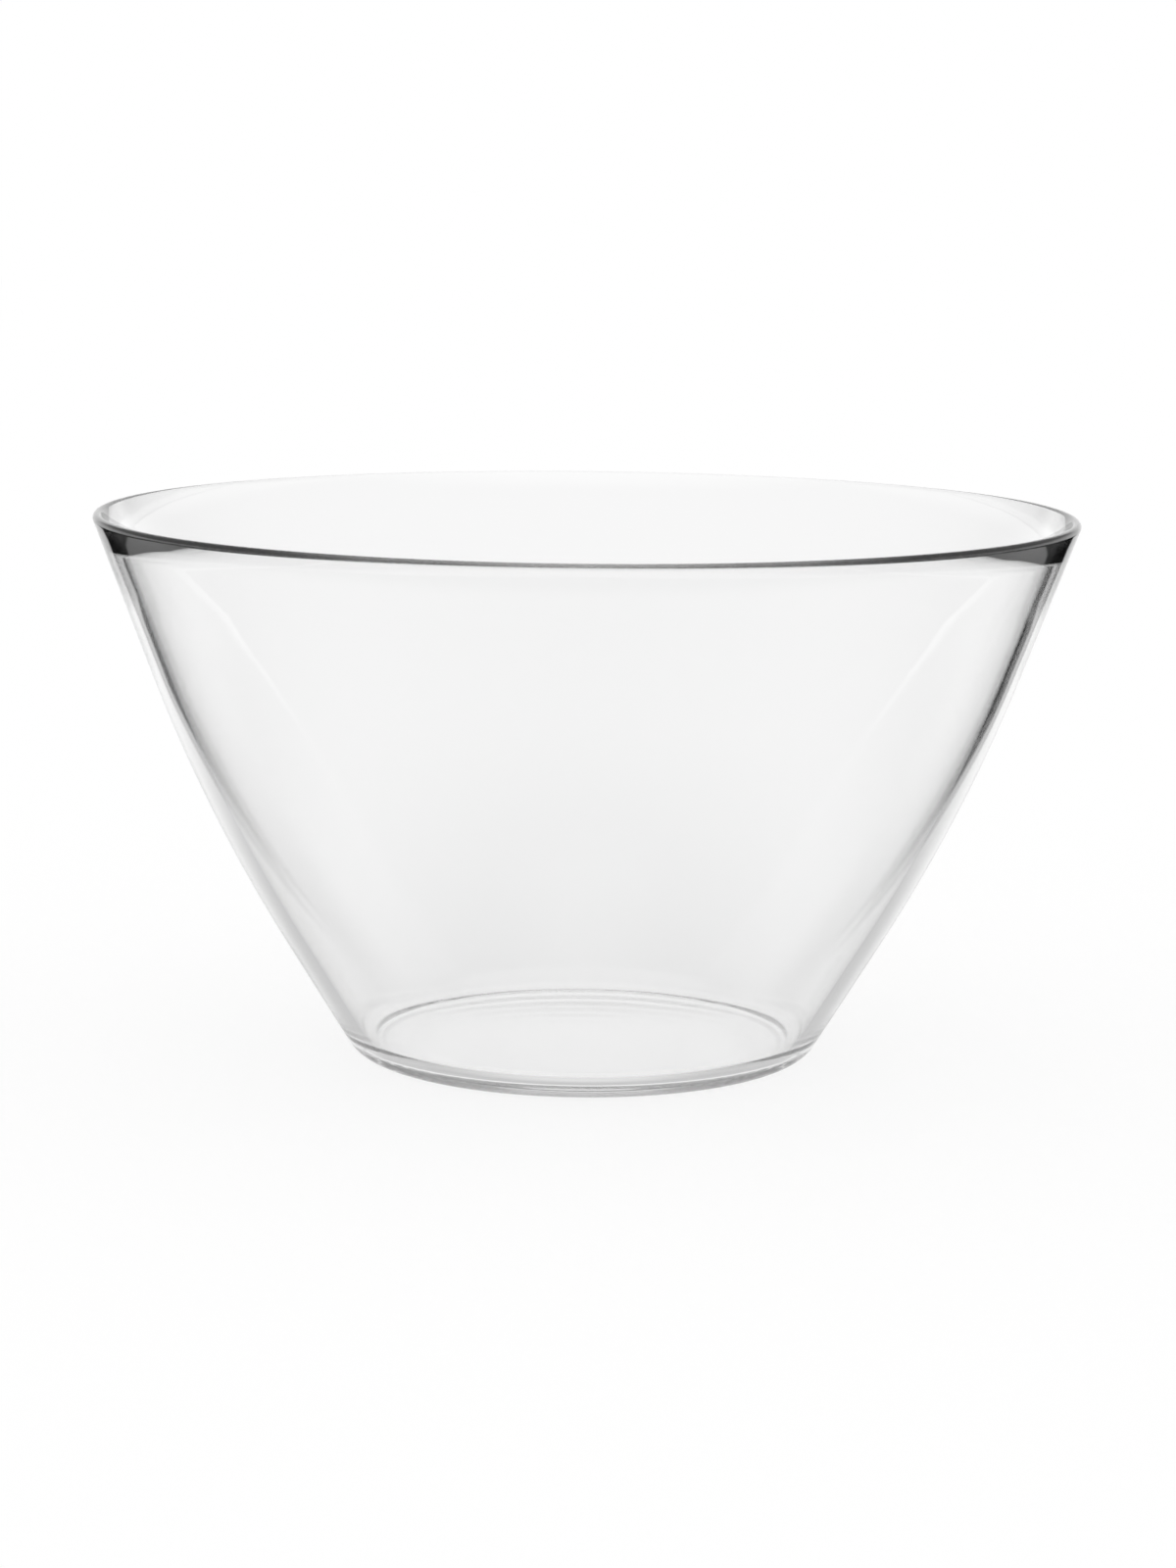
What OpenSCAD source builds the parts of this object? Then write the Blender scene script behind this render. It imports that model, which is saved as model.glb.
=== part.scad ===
// Clear glass salad bowl: one pressing with a flared wall that bends half way up and thins towards
// the rim, a full-round lip, a rounded floor corner and a shallow recess under the foot.
// The origin is on the table, on the bowl's axis. Sizes are in millimetres.

/* [Overall] */
// Outer diameter across the lip
rim_d = 280; // [250:1:320]
// Height from the table to the top of the lip
height = 156; // [140:1:180]
// Diameter where the line of the lower wall would meet the table
foot_d = 132; // [110:1:150]

/* [Wall bend] */
// Height where the lines of the lower and upper wall cross on the outside
bend_z = 71; // [62:1:80]
// How far that crossing stands out from a straight line between foot and lip
belly = 9.8; // [6:0.2:14]
// Radius of the bend on the outside of the wall
bend_r = 460; // [200:10:500]
// Height where the lines of the lower and upper wall cross on the inside
in_bend_z = 72; // [62:1:92]

/* [Glass] */
// Thickness of the upper wall just below the rim
wall_top = 4.1; // [3.6:0.1:5]
// Thickness of the upper wall at the inner bend
wall_mid = 4.5; // [3.6:0.1:5.5]
// Thickness of the lower wall at the foot
wall_low = 4.7; // [4:0.1:7]
// Thickness of the floor at the bearing ring
floor_t = 4.4; // [3:0.1:7]

/* [Rim] */
// How far below the top of the lip the rim starts, where the inside leans out a little more
rim_h = 22; // [18:0.5:34]
// Degrees by which it leans out more there
rim_turn = 0.6; // [0.2:0.1:1.2]
// Radius of the gentle bend there
rim_r = 800; // [200:50:1000]
// How far below the top of the lip the inside turns outwards to the lip
crest_h = 5.5; // [4.5:0.5:12]
// Radius of that turn
crest_r = 32; // [10:1:36]
// Thickness of the full-round lip
lip_t = 2.8; // [2:0.1:3.2]

/* [Foot] */
// Radius of the heel between the outer wall and the table
heel_r = 7.5; // [3:0.5:12]
// Radius of the corner between the floor and the inner wall
floor_r = 11.5; // [3:0.5:16]
// Width of the flat ring that bears on the table
ring_w = 6; // [3:0.5:10]
// Depth of the domed recess inside the bearing ring
recess_h = 0.4; // [0.2:0.1:2]

/* [Hidden] */
$fn = 360;

// Blending circles reach this far past the lines they blend, so that they cross cleanly
lap = 0.002;

// A wall line's lean from the vertical, its outward direction and its point at a height
function lean(low, high) = atan2(high.x - low.x, high.y - low.y);
function outward(lean) = [cos(lean), -sin(lean)];
function on_line(point, lean, z) = [point.x + (z - point.y) * tan(lean), z];

// How far a line from a point has to turn from a circle's centre to touch the circle
function to_tangent(point, centre, r) = asin(r / norm(centre - point));

// Outside of the wall as straight lines: foot corner, bend corner and the lip's circle
lip_r = lip_t / 2;
touch_r = lip_r - lap;
lip = [rim_d / 2 - lip_r, height - lip_r];
foot = [foot_d / 2, 0];
bend = on_line(foot, lean(foot, lip), bend_z) + [belly, 0];
low_lean = lean(foot, bend);
top_lean = lean(bend, lip) + to_tangent(bend, lip, touch_r);
lip_out = lip + touch_r * outward(top_lean);

// Inside of the wall: the thickness is set at the foot, at the inner bend and where the rim starts
in_foot = foot - wall_low * outward(low_lean);
in_bend = on_line(bend - wall_mid * outward(top_lean), top_lean, in_bend_z);
rim_start = on_line(bend - wall_top * outward(top_lean), top_lean, height - rim_h);
in_low_lean = lean(in_foot, in_bend);
in_top_lean = lean(in_bend, rim_start);
floor_corner = on_line(in_foot, in_low_lean, floor_t);

// Inside of the rim: the crest, and the line from it that touches the lip's circle
rim_lean = in_top_lean + rim_turn;
crest = on_line(rim_start, rim_lean, height - crest_h);
lip_lean = lean(crest, lip) - to_tangent(crest, lip, touch_r);
lip_in = lip - touch_r * outward(lip_lean);
hollow_top = on_line(crest, lip_lean, height);

// The bends inside are as round as the lines between them leave room for
rim_run = rim_r * tan(rim_turn / 2);
in_room = (norm(rim_start - in_bend) - rim_run) / tan((in_low_lean - in_top_lean) / 2);
in_bend_r = min(bend_r - wall_low, in_room);
crest_room = norm(lip_in - crest) / tan((lip_lean - rim_lean) / 2);
crest_round = min(crest_r, crest_room);

// Bearing ring: the heel leaves the table at its outer edge, the recess starts at its inner one
ring_out = foot.x - heel_r * tan((90 - low_lean) / 2);
ring_in = ring_out - ring_w;
recess_r = (ring_in ^ 2 + recess_h ^ 2) / (2 * recess_h);

// What a round of radius r takes off the corner b of an outline that runs a, b, c
module corner_waste(a, b, c, r) {
    to_a = (a - b) / norm(a - b);
    to_c = (c - b) / norm(c - b);
    half = acos(to_a * to_c) / 2;
    middle = (to_a + to_c) / norm(to_a + to_c);
    tangent = r / tan(half);
    centre = b + middle * r / sin(half);
    clear_of_corner = b - middle * tangent;
    difference() {
        polygon([clear_of_corner, b + to_a * tangent, centre, b + to_c * tangent]);
        translate(centre) circle(r + lap);
    }
}

// Half section of a flared form, from its base corner upwards, with a round for each first corner
module flared_section(corners, rounds) {
    axis_base = [0, corners[0].y];
    axis_top = [0, corners[len(corners) - 1].y];
    outline = [axis_base, each corners, axis_top];
    difference() {
        polygon(outline);
        for (i = [0:len(rounds) - 1])
            corner_waste(outline[i], outline[i + 1], outline[i + 2], rounds[i]);
    }
}

// Half section of the glass, from the axis outwards
module glass_section() {
    difference() {
        flared_section([foot, bend, lip_out, lip_in], [heel_r, bend_r]);
        flared_section([floor_corner, in_bend, rim_start, crest, hollow_top], [floor_r, in_bend_r]);
        corner_waste(in_bend, rim_start, crest, rim_r);
        corner_waste(rim_start, crest, lip_in, crest_round);
        intersection() {
            translate([0, recess_h - recess_r]) circle(recess_r);
            square([ring_out, floor_t]);
        }
    }
    translate(lip) circle(lip_r);
}

module bowl() {
    color([0.93, 0.95, 0.95, 0.35]) rotate_extrude() glass_section();
}

bowl();
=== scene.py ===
"""Clear glass salad bowl on a white studio floor: one pressed piece, turned from its half section."""
import math

import bpy
import numpy as np
from mathutils import Matrix, Vector


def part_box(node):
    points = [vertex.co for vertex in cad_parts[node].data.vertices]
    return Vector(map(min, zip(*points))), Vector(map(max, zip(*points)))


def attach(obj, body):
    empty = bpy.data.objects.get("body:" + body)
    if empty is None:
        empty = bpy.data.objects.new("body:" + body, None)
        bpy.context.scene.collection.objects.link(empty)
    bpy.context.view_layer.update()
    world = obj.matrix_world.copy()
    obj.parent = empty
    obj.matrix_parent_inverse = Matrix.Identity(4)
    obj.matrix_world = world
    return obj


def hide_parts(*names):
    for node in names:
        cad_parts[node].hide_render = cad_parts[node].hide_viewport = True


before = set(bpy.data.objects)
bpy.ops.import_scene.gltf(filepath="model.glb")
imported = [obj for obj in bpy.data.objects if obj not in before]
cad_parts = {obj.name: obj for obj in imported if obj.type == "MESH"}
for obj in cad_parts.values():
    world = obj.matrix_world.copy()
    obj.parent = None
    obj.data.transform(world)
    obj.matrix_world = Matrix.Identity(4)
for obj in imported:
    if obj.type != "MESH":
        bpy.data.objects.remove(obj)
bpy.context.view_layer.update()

MM = 0.001

# Form of the glass: overall sizes from the frame, the rest as in the part's source
LOW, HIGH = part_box("bowl")
RIM_R = (HIGH[0] - LOW[0]) / 2
HEIGHT = HIGH[2] - LOW[2]
FOOT_R = 66 * MM
BEND_Z = 71 * MM
BELLY = 9.8 * MM
BEND_R = 460 * MM
IN_BEND_Z = 72 * MM
WALL_TOP = 4.1 * MM
WALL_MID = 4.5 * MM
WALL_LOW = 4.7 * MM
FLOOR_T = 4.4 * MM
RIM_H = 22 * MM
RIM_TURN = math.radians(0.6)
RIM_BEND_R = 800 * MM
CREST_H = 5.5 * MM
CREST_R = 32 * MM
LIP_R = 1.4 * MM
HEEL_R = 7.5 * MM
FLOOR_R = 11.5 * MM
RING_W = 6 * MM
RECESS_H = 0.4 * MM

# Mesh of the glass: steps round the axis, longest step along the section, steps in a round
TURN_STEPS = 384
SECTION_STEP = 3 * MM
ROUND_STEPS = 20

# Glass and its finish
GLASS_IOR = 1.5
DEPTH_GREY = 0.9
DEPTH_DENSITY = 25.0
RIPPLES_PER_M = 40
RIPPLE_HEIGHT = 0.003 * MM
SCUFFS_PER_M = 900
SCUFF_NOISE = (0.45, 0.7)
SCUFF_ROUGHNESS = 0.12
SCUFF_FADE = 1 * MM
SCUFF_REACH = 0.1 * MM

# White table, a hair below the bearing ring
TABLE_HALF = 6.0
TABLE_DROP = 0.2 * MM
TABLE_MATT = 0.2
TABLE_GLOW = 0.8

# Studio that the glass mirrors: soft edges in degrees round from behind the bowl or up from level
STUDIO_TURN = 1.0
SWEEP_SIDE = (18, 26)
WALL_SIDE = (65, 115)
FRONT_SIDE = (100, 140)
BOX_SIDES = ((75, 95), (152, 162))
HORIZON = (-10, -6)
WALL_RISE = (3, 16)
FRONT_RISE = (7, 15)
BOX_RISES = ((-7, -1), (7, 11))
CEILING_RISE = (46, 62)
FAR_TABLE_RISE = (-26, -10)
NEAR_TABLE_RISE = (-75, -45)
WING_LOW_END = (-68, -40)
WING_TOP_END = (-17.7, -16.9)

# Slanting edges there: degrees round for each degree up, and degrees round at level
SWEEP_UPPER_EDGE = (-0.5, 17.5)
SWEEP_LOWER_EDGE = (-1.1, 7.9)
WING_EDGE = (-0.65, 24.6)
EDGE_BLUR = (-1, 1)
WING_FADE = (0, 16)

# Levels there, where 1 is white: a pair runs from the first end of its soft edge to the second
SWEEP_LEVEL = 1.05
BOX_LEVEL = 0.9
CEILING_LEVEL = 1.1
WALL_LEVELS = (1.0, 0.3)
WALL_SHARES = (1.0, 0.9)
FRONT_LEVELS = (0.03, 0.25)
# Painted shade: the room's table darkens from far off towards the bowl, as the bowl's shade
FAR_TABLE_LEVELS = (0.6, 1.0)
NEAR_TABLE_LEVELS = (0.2, 0.0)
WING_LEVELS = (0.02, 0.38)
WING_GAIN = (0.0, 0.5)
# Painted shade: the wings fade to dark where they fall steeply below, as the bowl's shade on the table
WING_LOW_SHARES = (0.08, 1.0)
WING_TOP_SHARES = (1.0, 0.05)

# Camera, from the photograph's outline: lens in pixels of a 1200 x 1600 picture
PICTURE_H = 1600
LENS_PX = 3932
SENSOR = 36
CAMERA_AT = Vector((0.0005, -1.0970, 0.2589))
CAMERA_DOWN = math.radians(9.402)
CAMERA_YAW = math.radians(0.03)
CAMERA_ROLL = math.radians(0.6)

# Light that is trapped in the wall turns many times before it leaves
LIGHT_BOUNCES = 110


def lean(low, high):
    """Angle of the line between two section points from the vertical."""
    return math.atan2(high[0] - low[0], high[1] - low[1])


def outward(angle):
    """Unit vector square to a wall line of that lean, away from the axis."""
    return np.array([math.cos(angle), -math.sin(angle)])


def on_line(point, angle, z):
    """The point at height z on the line through a point at that lean."""
    return np.array([point[0] + (z - point[1]) * math.tan(angle), z])


def to_tangent(point, centre, radius):
    """How far a line from a point has to turn from a circle's centre to touch the circle."""
    return math.asin(radius / np.linalg.norm(centre - point))


def round_corner(before, corner, after, radius):
    """Arc of that radius that touches both lines at a corner: its centre lies on the bisector,
    radius / sin(half the angle) from the corner, and it turns evenly from one line to the other."""
    to_before = (before - corner) / np.linalg.norm(before - corner)
    to_after = (after - corner) / np.linalg.norm(after - corner)
    half = math.acos(float(np.clip(to_before @ to_after, -1, 1))) / 2
    middle = (to_before + to_after) / np.linalg.norm(to_before + to_after)
    sweep = math.pi / 2 - half
    side = to_before - (to_before @ middle) * middle
    side /= np.linalg.norm(side)
    turn = np.linspace(sweep, -sweep, ROUND_STEPS + 1)[:, None]
    centre = corner + middle * radius / math.sin(half)
    return centre - radius * (np.cos(turn) * middle - np.sin(turn) * side)


def rounded_line(corners, rounds):
    """A line through the corners, each inner corner turned into an arc of its round, and each
    straight stretch cut into equal steps no longer than SECTION_STEP."""
    pieces = [corners[0][None]]
    for before, corner, after, radius in zip(corners, corners[1:], corners[2:], rounds):
        pieces.append(round_corner(before, corner, after, radius) if radius else corner[None])
    pieces.append(corners[-1][None])
    line = pieces[:1]
    for piece in pieces[1:]:
        start, end = line[-1][-1], piece[0]
        steps = max(1, math.ceil(np.linalg.norm(end - start) / SECTION_STEP))
        line.append(start + (end - start) * np.linspace(0, 1, steps + 1)[1:-1, None])
        line.append(piece)
    return np.concatenate(line)


def wall_corners():
    """Where the lines of the outer wall start, cross and end: the foot's corner, the bend, which
    stands BELLY out from a straight line between the other two, and the middle of the lip."""
    lip = np.array([RIM_R - LIP_R, HEIGHT - LIP_R])
    foot = np.array([FOOT_R, 0.0])
    bend = on_line(foot, lean(foot, lip), BEND_Z) + [BELLY, 0.0]
    return foot, bend, lip


def bearing_ring():
    """Inner and outer radius of the flat ring on the table: the heel's arc leaves the table at the
    outer one, HEEL_R * tan(half the turn from wall to table) from the foot's corner."""
    foot, bend, _ = wall_corners()
    ring_out = FOOT_R - HEEL_R * math.tan((math.pi / 2 - lean(foot, bend)) / 2)
    return ring_out - RING_W, ring_out


def half_section():
    """The half section of the glass as (radius, height) points, from the floor's middle up the
    inside, over the lip, down the outside and under the foot back to the axis."""
    foot, bend, lip = wall_corners()
    low_lean = lean(foot, bend)
    top_lean = lean(bend, lip) + to_tangent(bend, lip, LIP_R)
    lip_out = lip + LIP_R * outward(top_lean)

    # Inside
    in_foot = foot - WALL_LOW * outward(low_lean)
    in_bend = on_line(bend - WALL_MID * outward(top_lean), top_lean, IN_BEND_Z)
    rim_start = on_line(bend - WALL_TOP * outward(top_lean), top_lean, HEIGHT - RIM_H)
    floor_corner = on_line(in_foot, lean(in_foot, in_bend), FLOOR_T)
    crest = on_line(rim_start, lean(in_bend, rim_start) + RIM_TURN, HEIGHT - CREST_H)
    lip_lean = lean(crest, lip) - to_tangent(crest, lip, LIP_R)
    lip_in = lip - LIP_R * outward(lip_lean)
    inside = rounded_line(
        [np.array([0.0, FLOOR_T]), floor_corner, in_bend, rim_start, crest, lip_in],
        [FLOOR_R, BEND_R - WALL_LOW, RIM_BEND_R, CREST_R],
    )

    # Lip
    turn = np.linspace(math.pi - lip_lean, -top_lean, ROUND_STEPS + 1)[1:-1, None]
    over_lip = lip + LIP_R * np.concatenate([np.cos(turn), np.sin(turn)], 1)

    # Outside, with the recess as an arc that is level on the axis
    ring_in, _ = bearing_ring()
    recess_r = (ring_in**2 + RECESS_H**2) / (2 * RECESS_H)
    recess_x = recess_r * math.tan(math.asin(ring_in / recess_r) / 2)
    under_foot = np.array([[ring_in, 0.0], [recess_x, RECESS_H], [0.0, RECESS_H]])
    outside = rounded_line([lip_out, bend, foot, *under_foot], [BEND_R, HEEL_R, 0.0, recess_r])

    section = np.concatenate([inside, over_lip, outside])
    apart = np.linalg.norm(np.diff(section, axis=0), axis=1) > SECTION_STEP / 1000
    return section[np.concatenate([[True], apart])]


def turned(name, section):
    """A section that starts and ends on the axis, turned about Z: point (r cos t, r sin t, z) for
    each section point and angle t, in rings of quads with one vertex and a fan at each pole."""
    angles = np.arange(TURN_STEPS) * (2 * math.pi / TURN_STEPS)
    radius, height = section[1:-1, :1], section[1:-1, 1:]
    x, y = radius * np.cos(angles), radius * np.sin(angles)
    rings = np.stack([x, y, np.broadcast_to(height, x.shape)], -1)
    poles = np.array([[0.0, 0.0, section[0, 1]], [0.0, 0.0, section[-1, 1]]])
    verts = np.concatenate([rings.reshape(-1, 3), poles])

    here = np.arange(TURN_STEPS)
    there = (here + 1) % TURN_STEPS
    ring = np.arange(len(radius) - 1)[:, None] * TURN_STEPS
    after = ring + TURN_STEPS
    quads = np.stack([ring + here, after + here, after + there, ring + there], -1)
    first_pole, last_pole = len(verts) - 2, len(verts) - 1
    last_ring = (len(radius) - 1) * TURN_STEPS
    first_fan = np.stack([np.full_like(here, first_pole), here, there], -1)
    last_fan = np.stack([np.full_like(here, last_pole), last_ring + there, last_ring + here], -1)

    mesh = bpy.data.meshes.new(name)
    faces = quads.reshape(-1, 4).tolist() + first_fan.tolist() + last_fan.tolist()
    mesh.from_pydata(verts.tolist(), [], faces)
    mesh.shade_smooth()
    mesh.validate()
    return mesh


class Nodes:
    """A node tree with short ways to add the nodes that the materials here share."""

    def __init__(self, tree):
        self.tree = tree

    def add(self, kind, **settings):
        """A new node of that kind with these settings."""
        node = self.tree.nodes.new(kind)
        for name, value in settings.items():
            setattr(node, name, value)
        return node

    def put(self, socket, value):
        """Links an output to a socket, or sets the socket's own value."""
        if isinstance(value, bpy.types.NodeSocket):
            self.tree.links.new(value, socket)
        else:
            socket.default_value = value

    def put_all(self, node, **values):
        """Puts values into a node's sockets, with _ for each space in a socket's name."""
        for name, value in values.items():
            self.put(node.inputs[name.replace("_", " ")], value)

    def math(self, operation, *values):
        """The result of one operation on one to three values."""
        node = self.add("ShaderNodeMath", operation=operation)
        for socket, value in zip(node.inputs, values):
            self.put(socket, value)
        return node.outputs["Value"]

    def slant(self, value, slope, level):
        """A straight line: value times slope plus level."""
        return self.math("MULTIPLY_ADD", value, slope, level)

    def ramp(self, value, edge, ends=(0.0, 1.0), shape="SMOOTHSTEP"):
        """A step between two ends as the value crosses a soft edge, smooth unless told otherwise."""
        node = self.add("ShaderNodeMapRange", interpolation_type=shape)
        self.put_all(node, From_Min=edge[0], From_Max=edge[1], To_Min=ends[0], To_Max=ends[1])
        self.put_all(node, Value=value)
        return node.outputs["Result"]

    def band(self, value, opens, closes):
        """1 between two soft edges, else 0: a step up over the first times one down over the second."""
        return self.math("MULTIPLY", self.ramp(value, opens), self.ramp(value, closes, (1.0, 0.0)))

    def noise(self, place, scale, detail):
        """Smooth noise at a place, with scale patches to a metre."""
        node = self.add("ShaderNodeTexNoise")
        self.put_all(node, Vector=place, Scale=scale, Detail=detail)
        return node.outputs["Fac"]

    def mix(self, share, first, second):
        """The first value where the share is 0, the second where it is 1."""
        node = self.add("ShaderNodeMix", data_type="FLOAT")
        self.put_all(node, Factor=share, A=first, B=second)
        return node.outputs["Result"]

    def split(self, vector):
        """The X, Y and Z of a vector."""
        node = self.add("ShaderNodeSeparateXYZ")
        self.put_all(node, Vector=vector)
        return node.outputs["X"], node.outputs["Y"], node.outputs["Z"]

    def mirrored(self):
        """1 on paths that the glass has mirrored on their way from the eye, else 0."""
        path = self.add("ShaderNodeLightPath")
        mirrored = self.math("GREATER_THAN", path.outputs["Glossy Depth"], 0.5)
        straight = self.math("LESS_THAN", path.outputs["Diffuse Depth"], 0.5)
        return self.math("MULTIPLY", mirrored, straight)


def grey(level):
    """A grey of that level as a colour with full alpha."""
    return (level, level, level, 1.0)


def clear_glass():
    """Colourless soda glass: plain transmission with a trace of grey in its depth, a faint ripple
    left by the mould, and fine scuffs where the bearing ring has rubbed on tables."""
    material = bpy.data.materials.new("clear_glass")
    material.use_nodes = True
    nodes = Nodes(material.node_tree)
    shader = material.node_tree.nodes["Principled BSDF"]
    nodes.put_all(shader, Base_Color=grey(1.0), IOR=GLASS_IOR, Transmission_Weight=1.0)
    place = nodes.add("ShaderNodeTexCoord").outputs["Object"]

    # Mould ripple
    ripple = nodes.add("ShaderNodeBump")
    height = nodes.noise(place, RIPPLES_PER_M, 1.0)
    nodes.put_all(ripple, Strength=1.0, Distance=RIPPLE_HEIGHT, Height=height)
    nodes.put_all(shader, Normal=ripple.outputs["Normal"])

    # Scuffs on the bearing ring
    x, y, z = nodes.split(place)
    radius = nodes.math("SQRT", nodes.math("MULTIPLY_ADD", y, y, nodes.math("MULTIPLY", x, x)))
    ring_in, ring_out = bearing_ring()
    on_ring = nodes.band(radius, (ring_in, ring_in + SCUFF_FADE), (ring_out - SCUFF_FADE, ring_out))
    on_table = nodes.ramp(z, (0.0, SCUFF_REACH), (1.0, 0.0))
    scuffs = nodes.ramp(nodes.noise(place, SCUFFS_PER_M, 4.0), SCUFF_NOISE, (0.0, SCUFF_ROUGHNESS))
    rubbed = nodes.math("MULTIPLY", on_ring, on_table)
    nodes.put_all(shader, Roughness=nodes.math("MULTIPLY", rubbed, scuffs))

    # Grey of the depth
    depth = nodes.add("ShaderNodeVolumeAbsorption")
    nodes.put_all(depth, Color=grey(DEPTH_GREY), Density=DEPTH_DENSITY)
    nodes.put_all(material.node_tree.nodes["Material Output"], Volume=depth.outputs["Volume"])
    return material


def studio_floor():
    """White table: it takes the light and shade of the room to the eye, and gives way to the room's
    own lower half on paths that the glass has mirrored."""
    material = bpy.data.materials.new("studio_floor")
    material.use_nodes = True
    nodes = Nodes(material.node_tree)
    material.node_tree.nodes.remove(material.node_tree.nodes["Principled BSDF"])
    matt = nodes.add("ShaderNodeBsdfDiffuse")
    nodes.put_all(matt, Color=grey(TABLE_MATT))
    glow = nodes.add("ShaderNodeEmission")
    nodes.put_all(glow, Color=grey(TABLE_GLOW))
    lit = nodes.add("ShaderNodeAddShader")
    nodes.put(lit.inputs[0], matt.outputs["BSDF"])
    nodes.put(lit.inputs[1], glow.outputs["Emission"])
    clear = nodes.add("ShaderNodeBsdfTransparent")
    mix = nodes.add("ShaderNodeMixShader")
    nodes.put(mix.inputs["Fac"], nodes.mirrored())
    nodes.put(mix.inputs[1], lit.outputs["Shader"])
    nodes.put(mix.inputs[2], clear.outputs["BSDF"])
    nodes.put_all(material.node_tree.nodes["Material Output"], Surface=mix.outputs["Shader"])
    return material


def studio_world():
    """White to the eye and through the glass. In the glass's mirror images it is a studio: a white
    sweep behind the bowl, a slanting black flag and a pale wing low on each side, a soft box beside
    each wing, a pale ceiling, a dim room in front and a table that darkens towards the bowl. That
    darkening is painted shade of the bowl, on the table and on the wings where they fall steeply below."""
    world = bpy.data.worlds.new("studio")
    bpy.context.scene.world = world
    world.use_nodes = True
    nodes = Nodes(world.node_tree)
    x, y, z = nodes.split(nodes.add("ShaderNodeTexCoord").outputs["Generated"])
    turned_by = nodes.math("DEGREES", nodes.math("ARCTAN2", x, y))
    azimuth = nodes.math("ABSOLUTE", nodes.math("ADD", turned_by, STUDIO_TURN))
    rise = nodes.math("DEGREES", nodes.math("ARCSINE", z))

    # Wing, from the flag's outer edge
    past_flag = nodes.math("SUBTRACT", azimuth, nodes.slant(rise, *WING_EDGE))
    gain = nodes.ramp(past_flag, WING_FADE, WING_GAIN, "LINEAR")
    wing = nodes.math("ADD", gain, nodes.ramp(past_flag, EDGE_BLUR, WING_LEVELS))
    # Painted shade of the bowl: the wing fades to dark as it falls steeply below
    wing = nodes.math("MULTIPLY", wing, nodes.ramp(rise, WING_LOW_END, WING_LOW_SHARES))
    wing = nodes.math("MULTIPLY", wing, nodes.ramp(rise, WING_TOP_END, WING_TOP_SHARES))

    # Table behind the bowl, up to the sweep's slanting edge, with painted shade of the bowl: darker
    # from far off towards the bowl, a little paler again straight below it
    far_table = nodes.ramp(rise, FAR_TABLE_RISE, FAR_TABLE_LEVELS)
    near_table = nodes.ramp(rise, NEAR_TABLE_RISE, NEAR_TABLE_LEVELS)
    table = nodes.math("ADD", far_table, near_table)
    upper_edge = nodes.slant(rise, *SWEEP_UPPER_EDGE)
    lower_edge = nodes.slant(rise, *SWEEP_LOWER_EDGE)
    past_sweep = nodes.math("SUBTRACT", azimuth, nodes.math("MAXIMUM", upper_edge, lower_edge))
    low = nodes.mix(nodes.ramp(past_sweep, EDGE_BLUR), table, wing)

    # Sweep, and the walls beside it
    walls = nodes.ramp(rise, WALL_RISE, WALL_LEVELS)
    walls = nodes.math("MULTIPLY", walls, nodes.ramp(azimuth, WALL_SIDE, WALL_SHARES))
    high = nodes.mix(nodes.ramp(azimuth, SWEEP_SIDE), SWEEP_LEVEL, walls)

    # Room in front
    front = nodes.ramp(rise, FRONT_RISE, FRONT_LEVELS)
    high = nodes.mix(nodes.ramp(azimuth, FRONT_SIDE), high, front)

    # Soft boxes
    across = nodes.band(azimuth, *BOX_SIDES)
    upright = nodes.band(rise, *BOX_RISES)
    high = nodes.mix(nodes.math("MULTIPLY", across, upright), high, BOX_LEVEL)

    # Ceiling
    high = nodes.mix(nodes.ramp(rise, CEILING_RISE), high, CEILING_LEVEL)

    around = nodes.mix(nodes.ramp(rise, HORIZON), low, high)
    light = nodes.mix(nodes.mirrored(), 1.0, around)
    nodes.put_all(world.node_tree.nodes["Background"], Color=light)


def studio_camera():
    """Camera at the photograph's place: turned to look down the table, tilted and rolled."""
    lens = bpy.data.cameras.new("camera")
    lens.sensor_fit = "VERTICAL"
    lens.sensor_height = SENSOR
    lens.lens = LENS_PX / PICTURE_H * SENSOR
    camera = bpy.data.objects.new("camera", lens)
    bpy.context.scene.collection.objects.link(camera)
    camera.matrix_world = (
        Matrix.Translation(CAMERA_AT)
        @ Matrix.Rotation(-CAMERA_YAW, 4, "Z")
        @ Matrix.Rotation(math.pi / 2 - CAMERA_DOWN, 4, "X")
        @ Matrix.Rotation(CAMERA_ROLL, 4, "Z")
    )
    bpy.context.scene.camera = camera


def table_top(name):
    """A level square about the axis, TABLE_HALF to each side."""
    corners = np.array([[-1, -1, 0], [1, -1, 0], [1, 1, 0], [-1, 1, 0]]) * TABLE_HALF
    mesh = bpy.data.meshes.new(name)
    mesh.from_pydata((corners - [0, 0, TABLE_DROP]).tolist(), [], [(0, 1, 2, 3)])
    return mesh


def put_in_scene(name, mesh, material):
    """A new object at the origin with that mesh and material."""
    piece = bpy.data.objects.new(name, mesh)
    bpy.context.scene.collection.objects.link(piece)
    mesh.materials.append(material)
    return piece


bowl = put_in_scene("glass_bowl", turned("glass_bowl", half_section()), clear_glass())
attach(bowl, "root")
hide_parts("bowl")
put_in_scene("studio_floor", table_top("studio_floor"), studio_floor())
studio_world()
studio_camera()

scene = bpy.context.scene
scene.view_settings.view_transform = "Standard"
scene.cycles.max_bounces = LIGHT_BOUNCES
scene.cycles.glossy_bounces = LIGHT_BOUNCES
scene.cycles.transmission_bounces = LIGHT_BOUNCES
